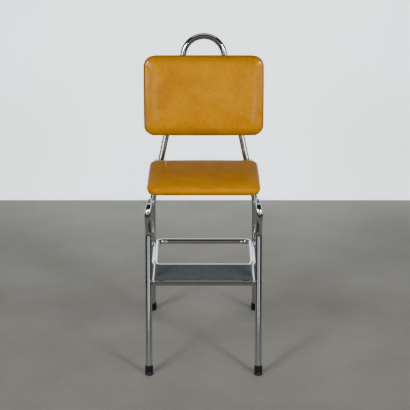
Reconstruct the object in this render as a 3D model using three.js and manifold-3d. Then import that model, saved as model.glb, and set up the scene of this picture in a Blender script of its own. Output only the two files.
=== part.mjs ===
// Folding step stool chair: bent tube frames, padded seat and backrest, and a tray step on a bow.
// Millimetres, +Z up. The front faces -Y. Heights are above the floor, and places along Y are
// measured from the point where the axis of a front leg meets the floor.
import * as THREE from "three";
import { mergeVertices } from "three/addons/utils/BufferGeometryUtils.js";
import Module from "manifold-3d";

const wasm = await Module();
wasm.setup();

const degree = Math.PI / 180;

// Clearances.
const seatedGap = 0.3;
const runningGap = 0.7;
const cutOverrun = 5;

// Tubes.
const frameTube = 22;
const bowTube = 19;
const tubeWall = 1.6;
const tubeSides = 14;
const boreSides = 6;
const bendStep = 14 * degree;

// Rear frame: one tube from foot to foot, with a knee in each side and the handle loop on top.
const stance = 530;
const rearTrack = 376;
const rearLean = 9 * degree;
const kneeHeight = 450;
const kneeTrack = 361;
const kneeRadius = 88;
const uprightLean = 8 * degree;
const handleHeight = 1020;
const handleRadius = 71;

// Front legs: straight tubes that end in a swan neck with a pressed eye.
const frontTrack = 361;
const frontLean = 14 * degree;
const legStraight = 457.6;
const neckForwardTurn = 47 * degree;
const neckForwardRadius = 38;
const neckRise = 43.7;
const neckBackTurn = 135 * degree;
const neckBackRadius = 32;
const neckTail = 20;
const eyeMargin = 13;
const eyeThickness = 13;
const eyeSpread = 3;
const eyePressKnots = 9;

// Rubber feet.
const footRadius = 13.4;
const footLength = 30;
const footSole = 9;
const footBead = 1.2;
const footSides = 20;

// Seat.
const seatWidth = 374;
const seatHeight = 608;
const seatFront = 130;
const seatBackGap = 34;
const seatBoard = 12;
const seatPad = 12.5;
const seatCrown = 5.5;
const seatCorner = 34;
const seatBow = 2.5;

// Backrest.
const backWidth = 416;
const backHeight = 276;
const backCentreHeight = 822;
const backBoard = 9;
const backPad = 17;
const backCrown = 11;
const backCorner = 36;
const backBow = 3;

// Cushions in common.
const boardInset = 7;
const cushionDraw = 5;
const cushionRoll = 13;
const cushionCornerSteps = 6;
const cushionRollSteps = 4;
const cushionSideShares = [-1, -0.5, 0, 0.5];
const cornerFloorShare = 0.3;
const bellyShare = 0.45;
const crownShares = [0.14, 0.34, 0.6, 0.85];

// Seat hinge plates and the lugs on the rear frame that carry them.
const plateThickness = 2.5;
const plateDepth = 17;
const plateFlange = 18;
const plateInset = 16;
const eyeRadius = 12;
const frontEarArc = [135 * degree, 288 * degree];
const rearEarArc = [-54 * degree, 135 * degree];
const plateArcSteps = 6;
const slabArcSteps = 3;
const seatPivotSetback = 28.7;
const seatPivotHeight = 592;
const lugRadius = 10;
const lugThickness = 3;
const lugCorner = 5;
const lugNoseArc = [90 * degree, 270 * degree];
const lugCornerArc = [90 * degree, 180 * degree];

// Step.
const trayWidth = 336;
const trayFront = 60;
const trayDepth = 158;
const trayHeight = 306.5;
const traySkirt = 15;
const traySheet = 1.5;
const trayCorner = 7;
const matThickness = 2;
const matInset = 6;
const matCorner = 4;
const ribPitch = 8;
const ribWidth = 4;
const ribDepth = 0.8;
const treadPivotHeight = 300;
const treadHoleAhead = 2.1;
const treadHoleDrop = 1.8;
const treadTravel = 3.2;

// Bow that carries the tray from the rear legs.
const bowTrack = 336;
const bowLegGap = 2.9;
const bowCorner = 30;
const bowFront = 92;
const bowNeckIn = 13;
const bowJogRadius = 30;
const bowJogLength = 40;
const bowJogEnd = 34;
const bowPivotInset = 33;
const stopTabWidth = 13;
const stopTabAhead = 11;

// Rivets, bolts and screws.
const rivetShank = 3;
const rivetHead = 6.5;
const rivetDome = 2.6;
const treadShank = 2.5;
const treadPinEnd = 2.5;
const rivetSides = 12;
const domeShares = [1, 0.88, 0.55, 0];
const domeRimShare = 0.35;
const boltShank = 3;
const boltHead = 6;
const boltDome = 3.4;
const boltInset = 48;
const screwShank = 2;
const screwHead = 4;
const screwDome = 1.8;
const screwInShare = 0.62;
const plateScrewShares = [0.12, 0.5, 0.88];
const bowRivetHead = 5.5;
const bowRivetDome = 2.2;
const bowRivetFront = 50;
const bowRivetRear = 120;
const crossbarRivetInset = 34;

// Finishes.
const chrome = { color: 0xc9ccd0, roughness: 0.12, metalness: 1 };
const zinc = { color: 0xaeb1b4, roughness: 0.35, metalness: 1 };
const rubber = { color: 0x17181a, roughness: 0.75, metalness: 0 };
const vinyl = { color: 0xc3870c, roughness: 0.38, metalness: 0 };
const plywood = { color: 0x8d6a44, roughness: 0.8, metalness: 0 };
const matRubber = { color: 0x3c4347, roughness: 0.85, metalness: 0 };

const tubeRadius = frameTube / 2;
const bowRadius = bowTube / 2;
const vec = (x, y, z) => new THREE.Vector3(x, y, z);

// A path given by knots, each with its own place and direction, so bends get more steps than runs.
class KnotCurve extends THREE.Curve {
  constructor(knots) {
    super();
    this.knots = knots;
  }

  getUtoTmapping(share) {
    return share;
  }

  getPoint(share, target = new THREE.Vector3()) {
    const along = share * (this.knots.length - 1);
    const first = Math.min(Math.floor(along), this.knots.length - 2);
    return target.lerpVectors(this.knots[first].place, this.knots[first + 1].place, along - first);
  }

  getTangent(share, target = new THREE.Vector3()) {
    return target.copy(this.knots[Math.round(share * (this.knots.length - 1))].direction);
  }
}

// Knots along straight runs that meet at corners, each corner rounded to its own radius.
function bentKnots(corners, radii) {
  const knots = [];
  const last = corners.length - 1;
  const heading = (index) => corners[index + 1].clone().sub(corners[index]).normalize();
  knots.push({ place: corners[0].clone(), direction: heading(0) });
  for (let index = 1; index < last; index += 1) {
    const before = heading(index - 1);
    const after = heading(index);
    const turn = before.angleTo(after);
    const radius = radii[index - 1];
    const inward = after.clone().addScaledVector(before, -before.dot(after)).normalize();
    const start = corners[index].clone().addScaledVector(before, -radius * Math.tan(turn / 2));
    const steps = Math.max(2, Math.ceil(turn / bendStep));
    for (let step = 0; step <= steps; step += 1) {
      const angle = (turn * step) / steps;
      const place = start.clone().addScaledVector(before, radius * Math.sin(angle));
      place.addScaledVector(inward, radius * (1 - Math.cos(angle)));
      const direction = before.clone().multiplyScalar(Math.cos(angle));
      direction.addScaledVector(inward, Math.sin(angle));
      knots.push({ place, direction });
    }
  }
  knots.push({ place: corners[last].clone(), direction: heading(last - 1) });
  return knots;
}

function circlePath(target, radius, sides) {
  for (let side = 0; side < sides; side += 1) {
    const angle = (2 * Math.PI * side) / sides;
    const [x, y] = [radius * Math.cos(angle), radius * Math.sin(angle)];
    if (side === 0) target.moveTo(x, y);
    else target.lineTo(x, y);
  }
  target.closePath();
  return target;
}

// A tube, or a rod where it has no bore, along knots.
function sweep(knots, radius, bore = 0) {
  const section = circlePath(new THREE.Shape(), radius, tubeSides);
  if (bore > 0) section.holes.push(circlePath(new THREE.Path(), bore, boreSides));
  const extrudePath = new KnotCurve(knots);
  return new THREE.ExtrudeGeometry(section, { steps: knots.length - 1, extrudePath });
}

// Booleans.
function toSolid(geometry) {
  const bare = geometry.index ? geometry.toNonIndexed() : geometry.clone();
  bare.deleteAttribute("normal");
  bare.deleteAttribute("uv");
  const merged = mergeVertices(bare);
  const vertProperties = new Float32Array(merged.attributes.position.array);
  const triVerts = new Uint32Array(merged.index.array);
  return new wasm.Manifold(new wasm.Mesh({ numProp: 3, vertProperties, triVerts }));
}

function toGeometry(solid) {
  const mesh = solid.getMesh();
  const geometry = new THREE.BufferGeometry();
  geometry.setAttribute("position", new THREE.BufferAttribute(mesh.vertProperties, mesh.numProp));
  geometry.setIndex(new THREE.BufferAttribute(mesh.triVerts, 1));
  return geometry;
}

function joined(solids) {
  return solids.reduce((whole, solid) => whole.add(solid));
}

// A cylinder along X from one side of the chair's middle outwards.
function pinAlongX(side, innerX, outerX, y, z, radius, sides = rivetSides) {
  const geometry = new THREE.CylinderGeometry(radius, radius, outerX - innerX, sides);
  geometry.rotateZ(Math.PI / 2);
  geometry.translate((side * (innerX + outerX)) / 2, y, z);
  return toSolid(geometry);
}

function domePoints(radius, height, base, sign) {
  return domeShares.map((share) => {
    const rise = share < 1 ? domeRimShare + (1 - domeRimShare) * Math.sqrt(1 - share * share) : 0;
    return new THREE.Vector2(radius * share, base + sign * height * rise);
  });
}

// A rivet with two domed heads on a shank, drawn about the Y axis between two heights.
function rivetGeometry(low, high, shank = rivetShank, head = rivetHead, dome = rivetDome) {
  const points = [
    ...domePoints(head, dome, low, -1).reverse(),
    new THREE.Vector2(shank, low),
    new THREE.Vector2(shank, high),
    ...domePoints(head, dome, high, 1),
  ];
  return new THREE.LatheGeometry(points, rivetSides);
}

// A domed screw or bolt with its head on top of a blunt shank.
function boltGeometry(grip, shank, head, dome) {
  const points = [
    new THREE.Vector2(0, -grip),
    new THREE.Vector2(shank, -grip),
    new THREE.Vector2(shank, 0),
    ...domePoints(head, dome, 0, 1),
  ];
  return new THREE.LatheGeometry(points, rivetSides);
}

function rivetAlongX(side, innerX, outerX, y, z) {
  const geometry = rivetGeometry(-outerX, -innerX);
  geometry.rotateZ(Math.PI / 2);
  if (side < 0) geometry.rotateY(Math.PI);
  geometry.translate(0, y, z);
  return geometry;
}

// Outline of a rounded rectangle about the origin.
function roundedRect(target, halfWidth, halfHeight, radius) {
  const [w, h, r] = [halfWidth, halfHeight, radius];
  target.moveTo(-w + r, -h);
  target.lineTo(w - r, -h);
  target.absarc(w - r, -h + r, r, -Math.PI / 2, 0);
  target.lineTo(w, h - r);
  target.absarc(w - r, h - r, r, 0, Math.PI / 2);
  target.lineTo(-w + r, h);
  target.absarc(-w + r, h - r, r, Math.PI / 2, Math.PI);
  target.lineTo(-w, -h + r);
  target.absarc(-w + r, -h + r, r, Math.PI, 1.5 * Math.PI);
  return target;
}

function slab(halfWidth, halfHeight, radius, depth) {
  const outline = roundedRect(new THREE.Shape(), halfWidth, halfHeight, radius);
  const curveSegments = slabArcSteps;
  return new THREE.ExtrudeGeometry(outline, { depth, bevelEnabled: false, curveSegments });
}

// Joins rings of equal counts, and closes both ends with a fan about a middle point.
function loft(rings, lowMiddle, highMiddle) {
  const count = rings[0].length;
  const points = [...rings.flat(), lowMiddle, highMiddle];
  const lowIndex = points.length - 2;
  const highIndex = points.length - 1;
  const lastRing = (rings.length - 1) * count;
  const index = [];
  for (let side = 0; side < count; side += 1) {
    const next = (side + 1) % count;
    index.push(lowIndex, next, side);
    index.push(highIndex, lastRing + side, lastRing + next);
    for (let ring = 0; ring + 1 < rings.length; ring += 1) {
      const low = ring * count;
      const high = low + count;
      index.push(low + side, low + next, high + next);
      index.push(low + side, high + next, high + side);
    }
  }
  const geometry = new THREE.BufferGeometry().setFromPoints(points);
  geometry.setIndex(index);
  return geometry;
}

// One ring of a cushion: its outline drawn in by an inset and bowed along the sides, at one height.
function cushionRing(size, inset, height) {
  const halves = [size.width / 2 - inset, size.length / 2 - inset];
  const radius = Math.max(size.corner - inset, size.corner * cornerFloorShare);
  const ring = [];
  const place = (normal, along, quarter) => {
    const angle = (quarter * Math.PI) / 2;
    const x = normal * Math.cos(angle) - along * Math.sin(angle);
    const y = normal * Math.sin(angle) + along * Math.cos(angle);
    const swellX = 1 + (size.bow / size.width) * (1 - ((2 * y) / size.length) ** 2);
    const swellY = 1 + (size.bow / size.length) * (1 - ((2 * x) / size.width) ** 2);
    ring.push(vec(x * swellX, y * swellY, height));
  };
  for (let quarter = 0; quarter < 4; quarter += 1) {
    const [halfNormal, halfAlong] = quarter % 2 ? [halves[1], halves[0]] : halves;
    for (const share of cushionSideShares) place(halfNormal, share * (halfAlong - radius), quarter);
    for (let step = 0; step <= cushionCornerSteps; step += 1) {
      const turn = ((step / cushionCornerSteps) * Math.PI) / 2;
      const normal = halfNormal - radius + radius * Math.cos(turn);
      place(normal, halfAlong - radius + radius * Math.sin(turn), quarter);
    }
  }
  return ring;
}

// A cushion on its back: drawn in at the board, widest at mid height, rolled over to a crowned top.
function cushion(size) {
  const middle = size.pad * bellyShare;
  const draw = Math.acos(1 - cushionDraw / cushionRoll);
  const rings = [];
  for (let step = 0; step < cushionRollSteps; step += 1) {
    const angle = draw * (1 - step / cushionRollSteps);
    const height = middle * (1 - Math.sin(angle) / Math.sin(draw));
    rings.push(cushionRing(size, cushionRoll * (1 - Math.cos(angle)), height));
  }
  for (let step = 0; step <= cushionRollSteps; step += 1) {
    const angle = ((step / cushionRollSteps) * Math.PI) / 2;
    const height = middle + (size.pad - middle) * Math.sin(angle);
    rings.push(cushionRing(size, cushionRoll * (1 - Math.cos(angle)), height));
  }
  const deepest = Math.min(size.width, size.length) / 2 - cushionRoll;
  for (const share of crownShares) {
    const height = size.pad + size.crown * (1 - (1 - share) ** 2);
    rings.push(cushionRing(size, cushionRoll + deepest * share, height));
  }
  return loft(rings, vec(0, 0, 0), vec(0, 0, size.pad + size.crown));
}

// Places in the side view, worked out from the driving sizes.
const kneeY = stance - kneeHeight * Math.tan(rearLean);
const uprightRun = (height) => (height - kneeHeight) / Math.cos(uprightLean);
const uprightY = (height) => kneeY + uprightRun(height) * Math.sin(uprightLean);
const rearLegY = (height) => stance - height * Math.tan(rearLean);
const rearLegX = (height) => (rearTrack + ((kneeTrack - rearTrack) * height) / kneeHeight) / 2;
const frontLegY = (height) => height * Math.tan(frontLean);

const neckCorners = (() => {
  const heading = (lean) => vec(0, Math.sin(lean), Math.cos(lean));
  const forwardLean = frontLean - neckForwardTurn;
  const forwardTangent = neckForwardRadius * Math.tan(neckForwardTurn / 2);
  const backTangent = neckBackRadius * Math.tan(neckBackTurn / 2);
  const foot = vec(0, 0, 0).addScaledVector(heading(frontLean), footSole);
  const chin = vec(0, 0, 0).addScaledVector(heading(frontLean), legStraight + forwardTangent);
  const nose = chin.clone().addScaledVector(heading(forwardLean), forwardTangent + neckRise + backTangent);
  const back = heading(forwardLean + neckBackTurn);
  const eye = nose.clone().addScaledVector(back, backTangent + neckTail);
  const end = eye.clone().addScaledVector(back, eyeMargin);
  return { foot, chin, nose, eye, end };
})();

const seatPivot = vec(0, uprightY(seatPivotHeight) - seatPivotSetback, seatPivotHeight);
const neckPivot = neckCorners.eye;
const treadPivot = vec(0, frontLegY(treadPivotHeight), treadPivotHeight);
const bowAxisHeight = trayHeight - traySheet - seatedGap - bowRadius;
const bowRear = rearLegY(bowAxisHeight) - tubeRadius / Math.cos(rearLean) - bowLegGap - bowRadius;
const bowPivot = vec(0, bowRear - bowPivotInset, bowAxisHeight);
const seatBoardLow = seatHeight - seatCrown - seatPad - seatedGap - seatBoard;
const seatDepth = uprightY(seatHeight) - tubeRadius - seatBackGap - seatFront;
const seatMiddleY = seatFront + seatDepth / 2;

// Plates stand in line, from the inner side of the pressed eye inwards.
const legInner = frontTrack / 2 - tubeRadius;
const plateOuter = legInner - runningGap;
const plateInner = plateOuter - plateThickness;
const seatLugOuter = plateInner - runningGap;
const seatLugInner = seatLugOuter - lugThickness;
const bowOuter = bowTrack / 2 + bowRadius;
const stepLugInner = bowOuter + runningGap;
const stepLugOuter = stepLugInner + lugThickness;

const chair = new THREE.Group();
const sides = [["left", -1], ["right", 1]];

function add(name, shape, finish) {
  const geometry = shape.isBufferGeometry ? shape : toGeometry(shape);
  geometry.computeVertexNormals();
  const mesh = new THREE.Mesh(geometry, new THREE.MeshStandardMaterial(finish));
  mesh.name = name;
  chair.add(mesh);
  return mesh;
}

// Angle at which each upright closes in from its knee to touch the handle's loop.
const uprightInward = (() => {
  const loopRun = uprightRun(handleHeight) - handleRadius;
  const reach = Math.hypot(kneeTrack / 2, loopRun);
  return Math.atan2(kneeTrack / 2, loopRun) - Math.asin(handleRadius / reach);
})();
const uprightX = (height) => kneeTrack / 2 - uprightRun(height) * Math.tan(uprightInward);

// Rear frame.
function rearFrameKnots() {
  const knee = (side) => vec((side * kneeTrack) / 2, kneeY, kneeHeight);
  const apexRun = kneeTrack / 2 / Math.tan(uprightInward);
  const upright = vec(0, Math.sin(uprightLean), Math.cos(uprightLean));
  const apex = vec(0, kneeY, kneeHeight).addScaledVector(upright, apexRun);
  const floorPoint = (side) => vec((side * rearTrack) / 2, stance, 0);
  const legHeading = (side) => knee(side).sub(floorPoint(side)).normalize();
  const foot = (side) => floorPoint(side).addScaledVector(legHeading(side), footSole);
  const corners = [foot(-1), knee(-1), apex, knee(1), foot(1)];
  return bentKnots(corners, [kneeRadius, handleRadius, kneeRadius]);
}

const rearKnots = rearFrameKnots();
const rearRod = toSolid(sweep(rearKnots, tubeRadius + seatedGap));

// The backrest's own frame: its back lies on the fronts of the uprights.
const backPlace = new THREE.Matrix4();
backPlace.makeRotationX(-uprightLean);
backPlace.setPosition(0, uprightY(backCentreHeight), backCentreHeight);
const backSurface = -(tubeRadius + seatedGap);

function onBack(geometry) {
  geometry.applyMatrix4(backPlace);
  return geometry;
}

const boltRun = (backHeight / 2 - boltInset) * Math.cos(uprightLean);
const boltPlaces = [];
for (const [sideName, side] of sides) {
  for (const [endName, end] of [["lower", -1], ["upper", 1]]) {
    const height = backCentreHeight + end * boltRun;
    const run = (end * boltRun) / Math.cos(uprightLean);
    boltPlaces.push({ name: `${endName}_${sideName}`, x: side * uprightX(height), run });
  }
}

// Straight holes through an upright and the board in front of it.
const boltHoles = joined(boltPlaces.map(({ x, run }) => {
  const radius = boltShank + seatedGap;
  const length = 2 * (frameTube + backBoard) + cutOverrun;
  const geometry = new THREE.CylinderGeometry(radius, radius, length, rivetSides);
  geometry.translate(x, 0, run);
  return toSolid(onBack(geometry));
}));

const rearTube = toSolid(sweep(rearKnots, tubeRadius, tubeRadius - tubeWall));
add("rear_frame_tube", rearTube.subtract(boltHoles), chrome);
for (const { name, x, run } of boltPlaces) {
  const geometry = boltGeometry(frameTube + backBoard, boltShank, boltHead, boltDome);
  geometry.translate(x, tubeRadius + seatedGap, run);
  add(`backrest_bolt_${name}`, onBack(geometry), zinc);
}

const backBoardGeometry = slab(
  backWidth / 2 - boardInset, backHeight / 2 - boardInset, backCorner - boardInset, backBoard);
backBoardGeometry.rotateX(Math.PI / 2);
backBoardGeometry.translate(0, backSurface, 0);
add("backrest_board", toSolid(onBack(backBoardGeometry)).subtract(boltHoles), plywood);

const backCushionGeometry = cushion({
  width: backWidth, length: backHeight, pad: backPad, crown: backCrown,
  corner: backCorner, bow: backBow,
});
backCushionGeometry.rotateX(Math.PI / 2);
backCushionGeometry.translate(0, backSurface - backBoard - seatedGap, 0);
add("backrest_cushion", onBack(backCushionGeometry), vinyl);

// Rubber feet: a cup on the end of each leg, cut level with the floor.
function footSolid(origin, heading) {
  const bore = tubeRadius + seatedGap;
  const points = [
    [0, -footSole], [footRadius, -footSole], [footRadius, footLength - footBead],
    [footRadius - footBead, footLength], [bore, footLength], [bore, footSole - seatedGap],
    [0, footSole - seatedGap],
  ].map(([radius, height]) => new THREE.Vector2(radius, height));
  const geometry = new THREE.LatheGeometry(points, footSides);
  const turn = new THREE.Quaternion().setFromUnitVectors(vec(0, 1, 0), heading);
  geometry.applyQuaternion(turn);
  geometry.translate(origin.x, origin.y, origin.z);
  const ground = new THREE.BoxGeometry(2 * footLength, 2 * footLength, footLength);
  ground.translate(origin.x, origin.y, -footLength / 2);
  return toSolid(geometry).subtract(toSolid(ground));
}

for (const [sideName, side] of sides) {
  const rearEnd = side < 0 ? rearKnots[0] : rearKnots[rearKnots.length - 1];
  const rearUp = rearEnd.direction.clone().multiplyScalar(side < 0 ? 1 : -1);
  const rearFloor = vec((side * rearTrack) / 2, stance, 0);
  add(`rear_foot_${sideName}`, footSolid(rearFloor, rearUp), rubber);
  const frontUp = neckCorners.chin.clone().normalize();
  add(`front_foot_${sideName}`, footSolid(vec((side * frontTrack) / 2, 0, 0), frontUp), rubber);
}

// A flat plate in the side view, given by its outline, between two distances from the middle.
function sidePlate(side, outline, innerX, outerX) {
  const shape = new THREE.Shape(outline);
  const depth = outerX - innerX;
  const geometry = new THREE.ExtrudeGeometry(shape, { depth, bevelEnabled: false });
  const turn = new THREE.Matrix4();
  turn.makeBasis(vec(0, 1, 0), vec(0, 0, 1), vec(1, 0, 0));
  geometry.applyMatrix4(turn);
  geometry.translate(side > 0 ? innerX : -outerX, 0, 0);
  return toSolid(geometry);
}

function arcPoints(y, z, radius, [from, to], steps = plateArcSteps) {
  const points = [];
  for (let step = 0; step <= steps; step += 1) {
    const angle = from + ((to - from) * step) / steps;
    points.push(new THREE.Vector2(y + radius * Math.cos(angle), z + radius * Math.sin(angle)));
  }
  return points;
}

// Lugs welded to the rear frame: one pair carries the seat, the other carries the bow.
function seatLug(side) {
  const back = uprightY(seatPivotHeight) - tubeRadius / 2;
  const outline = [
    ...arcPoints(seatPivot.y, seatPivot.z, lugRadius, lugNoseArc),
    new THREE.Vector2(back, seatPivot.z - lugRadius),
    new THREE.Vector2(back, seatPivot.z + lugRadius),
  ];
  return sidePlate(side, outline, seatLugInner, seatLugOuter);
}

function stepLug(side) {
  const [low, high] = [bowPivot.z - bowRadius - seatedGap - lugThickness, bowPivot.z + bowRadius];
  const back = rearLegY(bowPivot.z);
  const front = bowPivot.y - stopTabAhead - stopTabWidth;
  const outline = [
    ...arcPoints(front + lugCorner, high - lugCorner, lugCorner, lugCornerArc),
    new THREE.Vector2(front, low),
    new THREE.Vector2(back, low),
    new THREE.Vector2(back, high),
  ];
  const tab = new THREE.BoxGeometry(bowTube + runningGap + lugThickness / 2, stopTabWidth, lugThickness);
  tab.translate(
    side * (stepLugInner + lugThickness / 2 - (bowTube + runningGap + lugThickness / 2) / 2),
    front + stopTabWidth / 2, low + lugThickness / 2);
  return sidePlate(side, outline, stepLugInner, stepLugOuter).add(toSolid(tab));
}

for (const [sideName, side] of sides) {
  const rivetHole = (pivot, innerX, outerX) => pinAlongX(
    side, innerX - cutOverrun, outerX + cutOverrun, pivot.y, pivot.z, rivetShank + seatedGap);
  const upperLug = seatLug(side).subtract(rivetHole(seatPivot, seatLugInner, seatLugOuter));
  add(`seat_lug_${sideName}`, upperLug.subtract(rearRod), chrome);
  const lowerLug = stepLug(side).subtract(rivetHole(bowPivot, stepLugInner, stepLugOuter));
  add(`step_lug_${sideName}`, lowerLug.subtract(rearRod), chrome);
  add(`seat_pivot_rivet_${sideName}`, rivetAlongX(
    side, seatLugInner - seatedGap, plateOuter + seatedGap, seatPivot.y, seatPivot.z), zinc);
  add(`bow_pivot_rivet_${sideName}`, rivetAlongX(
    side, bowTrack / 2 - bowRadius - seatedGap, stepLugOuter + seatedGap, bowPivot.y, bowPivot.z), zinc);
}

// Seat.
const seatBoardGeometry = slab(
  seatWidth / 2 - boardInset, seatDepth / 2 - boardInset, seatCorner - boardInset, seatBoard);
seatBoardGeometry.translate(0, seatMiddleY, seatBoardLow);
add("seat_board", seatBoardGeometry, plywood);

const seatCushionGeometry = cushion({
  width: seatWidth, length: seatDepth, pad: seatPad, crown: seatCrown,
  corner: seatCorner, bow: seatBow,
});
seatCushionGeometry.translate(0, seatMiddleY, seatBoardLow + seatBoard + seatedGap);
add("seat_cushion", seatCushionGeometry, vinyl);

const plateTop = seatBoardLow - seatedGap;
const plateLow = plateTop - plateDepth;
const plateFront = seatFront + boardInset + plateInset;
const plateBack = seatFront + seatDepth - boardInset - plateInset;
const plateScrewYs = plateScrewShares.map((share) => plateFront + (plateBack - plateFront) * share);

// Hinge plate under each side of the seat, with an ear at each end and a flange for screws.
function seatPlate(side) {
  const rise = seatPivot.y - eyeRadius;
  const outline = [
    ...arcPoints(neckPivot.y, neckPivot.z, eyeRadius, frontEarArc),
    new THREE.Vector2(neckPivot.y + 2 * eyeRadius, plateLow),
    new THREE.Vector2(seatPivot.y - 2 * eyeRadius, plateLow),
    ...arcPoints(seatPivot.y, seatPivot.z, eyeRadius, rearEarArc),
    new THREE.Vector2(rise, plateTop),
    new THREE.Vector2(neckPivot.y + eyeRadius / 2, plateTop),
  ];
  const flange = new THREE.BoxGeometry(plateFlange, plateBack - plateFront, plateThickness);
  flange.translate(
    side * (plateOuter - plateFlange / 2), (plateFront + plateBack) / 2, plateTop - plateThickness / 2);
  let solid = sidePlate(side, outline, plateInner, plateOuter).add(toSolid(flange));
  for (const pivot of [neckPivot, seatPivot]) {
    solid = solid.subtract(pinAlongX(
      side, plateInner - cutOverrun, plateOuter + cutOverrun, pivot.y, pivot.z, rivetShank + seatedGap));
  }
  return solid;
}

for (const [sideName, side] of sides) {
  let plate = seatPlate(side);
  for (const [order, y] of plateScrewYs.entries()) {
    const x = side * (plateOuter - plateFlange * screwInShare);
    const hole = new THREE.CylinderGeometry(
      screwShank + seatedGap, screwShank + seatedGap, plateThickness + cutOverrun, rivetSides);
    hole.rotateX(Math.PI / 2);
    hole.translate(x, y, plateTop - plateThickness / 2);
    plate = plate.subtract(toSolid(hole));
    const screw = boltGeometry(plateThickness + seatedGap, screwShank, screwHead, screwDome);
    screw.rotateX(-Math.PI / 2);
    screw.translate(x, y, plateTop - plateThickness - seatedGap);
    add(`seat_screw_${sideName}_${order + 1}`, screw, zinc);
  }
  add(`seat_plate_${sideName}`, plate, zinc);
}

// The knot in whose cross-section a point lies.
function nearestKnot(knots, point) {
  const misses = knots.map(({ place, direction }) => {
    const offset = point.clone().sub(place);
    return offset.length() < frameTube ? Math.abs(offset.dot(direction)) : Infinity;
  });
  return misses.indexOf(Math.min(...misses));
}

// Front legs. The end of each tube is pressed narrow on its outer side, and spreads upright.
function pressEye(geometry, knots, side) {
  const place = geometry.attributes.position;
  const pressed = eyeThickness / frameTube;
  const spread = 1 + (2 * eyeSpread) / frameTube;
  const point = vec(0, 0, 0);
  const inner = side * legInner;
  const first = knots.length - 1 - eyePressKnots;
  for (let index = 0; index < place.count; index += 1) {
    point.fromBufferAttribute(place, index);
    const knot = nearestKnot(knots, point);
    const share = THREE.MathUtils.smoothstep(knot, first, knots.length - 2);
    const offset = point.clone().sub(knots[knot].place);
    const across = vec(0, offset.y, offset.z).multiplyScalar(1 + (spread - 1) * share);
    const x = inner + (point.x - inner) * (1 + (pressed - 1) * share);
    place.setXYZ(index, x, knots[knot].place.y + across.y, knots[knot].place.z + across.z);
  }
}

for (const [sideName, side] of sides) {
  const { foot, chin, nose, end } = neckCorners;
  const corners = [foot, chin, nose, end].map((corner) => vec((side * frontTrack) / 2, corner.y, corner.z));
  const knots = bentKnots(corners, [neckForwardRadius, neckBackRadius]);
  const geometry = sweep(knots, tubeRadius, tubeRadius - tubeWall);
  pressEye(geometry, knots, side);
  let leg = toSolid(geometry);
  const legOuter = legInner + frameTube;
  for (const [pivot, shank] of [[neckPivot, rivetShank], [treadPivot, treadShank]]) {
    leg = leg.subtract(pinAlongX(
      side, legInner - cutOverrun, legOuter + cutOverrun, pivot.y, pivot.z, shank + seatedGap));
  }
  add(`front_leg_${sideName}`, leg, chrome);
  add(`neck_rivet_${sideName}`, rivetAlongX(
    side, plateInner - seatedGap, legInner + eyeThickness + seatedGap, neckPivot.y, neckPivot.z), zinc);
  const pinGrip = legOuter + seatedGap - (trayWidth / 2 - traySheet - treadPinEnd);
  const pin = boltGeometry(pinGrip, treadShank, rivetHead, rivetDome);
  pin.rotateZ((-side * Math.PI) / 2);
  pin.translate(side * (legOuter + seatedGap), treadPivot.y, treadPivot.z);
  add(`tread_pin_${sideName}`, pin, zinc);
}

// Step tray: a sheet pan with its skirt turned down, notched at the rear for the bow.
const trayMiddleY = trayFront + trayDepth / 2;

function trayShell() {
  const outer = slab(trayWidth / 2, trayDepth / 2, trayCorner, traySkirt);
  outer.translate(0, trayMiddleY, trayHeight - traySkirt);
  const inner = slab(
    trayWidth / 2 - traySheet, trayDepth / 2 - traySheet, trayCorner - traySheet, traySkirt);
  inner.translate(0, trayMiddleY, trayHeight - traySkirt - traySheet);
  return toSolid(outer).subtract(toSolid(inner));
}

function bowKnots() {
  const [wide, narrow] = [bowTrack / 2, bowTrack / 2 - bowNeckIn];
  const rear = trayFront + trayDepth;
  const route = [
    [narrow, bowFront], [narrow, rear + bowJogEnd - bowJogLength], [wide, rear + bowJogEnd],
    [wide, bowRear],
  ];
  const corners = [
    ...route.map(([x, y]) => vec(-x, y, bowAxisHeight)),
    ...route.reverse().map(([x, y]) => vec(x, y, bowAxisHeight)),
  ];
  return bentKnots(corners, [
    bowJogRadius, bowJogRadius, bowCorner, bowCorner, bowJogRadius, bowJogRadius]);
}

const bowPath = bowKnots();
const bowRivetPlaces = [];
for (const [sideName, side] of sides) {
  for (const [endName, y] of [["front", bowRivetFront], ["rear", bowRivetRear]]) {
    bowRivetPlaces.push({
      name: `${endName}_${sideName}`, x: side * (bowTrack / 2 - bowNeckIn), y: trayFront + y,
    });
  }
}

const bowRivetHoles = joined(bowRivetPlaces.map(({ x, y }) => {
  const radius = rivetShank + seatedGap;
  const geometry = new THREE.CylinderGeometry(radius, radius, 2 * frameTube, rivetSides);
  geometry.rotateX(Math.PI / 2);
  geometry.translate(x, y, bowAxisHeight);
  return toSolid(geometry);
}));

// Holes in the skirt around the path that the pins take as the step folds.
const treadHoles = joined(sides.map(([, side]) => pinAlongX(
  side, trayWidth / 2 - cutOverrun, trayWidth / 2 + cutOverrun, treadPivot.y - treadHoleAhead,
  treadPivot.z - treadHoleDrop, treadShank + treadTravel)));

const bowPivotHoles = joined(sides.map(([, side]) => pinAlongX(
  side, bowTrack / 2 - bowTube, bowTrack / 2 + bowTube, bowPivot.y, bowPivot.z,
  rivetShank + seatedGap)));

// Rivets through the crossbar, one near each corner.
const crossbarRivetX = bowTrack / 2 - crossbarRivetInset;
const crossbarHoles = joined(sides.map(([, side]) => {
  const radius = rivetShank + seatedGap;
  const geometry = new THREE.CylinderGeometry(radius, radius, 2 * bowTube, rivetSides);
  geometry.translate(side * crossbarRivetX, bowRear, bowAxisHeight);
  return toSolid(geometry);
}));
for (const [sideName, side] of sides) {
  const reach = bowRadius + seatedGap;
  const geometry = rivetGeometry(-reach, reach, rivetShank, bowRivetHead, bowRivetDome);
  geometry.translate(side * crossbarRivetX, bowRear, bowAxisHeight);
  add(`crossbar_rivet_${sideName}`, geometry, zinc);
}

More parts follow.
